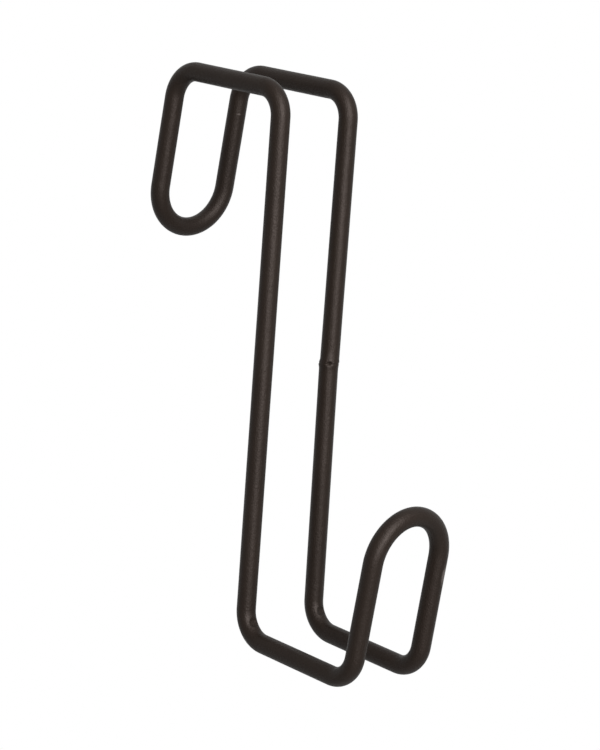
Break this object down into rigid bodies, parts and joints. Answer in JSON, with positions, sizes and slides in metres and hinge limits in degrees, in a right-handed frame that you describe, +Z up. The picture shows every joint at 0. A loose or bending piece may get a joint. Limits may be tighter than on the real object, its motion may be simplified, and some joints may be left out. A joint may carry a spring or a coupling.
{
  "type": "stable hook",
  "caption": "Closed loop of bent round rod: an open rail hook hangs it over a stable door or rail, and an upturned load hook below holds tack, halters or a bucket.",
  "frame": {"origin": "middle of the rail spans' underside, where the hook sits on its rail", "axes": "+Z up along the long legs, +X from the rail hook towards the load hook, +Y across the two rods towards the welded one"},
  "size_m": [0.1579, 0.0456, 0.2436],
  "materials": {
    "coating": "satin dark brown-black coating, finely textured, with a few small scuffs"
  },
  "bodies": {
    "root": {"hook": "coating"}
  },
  "joints": []
}
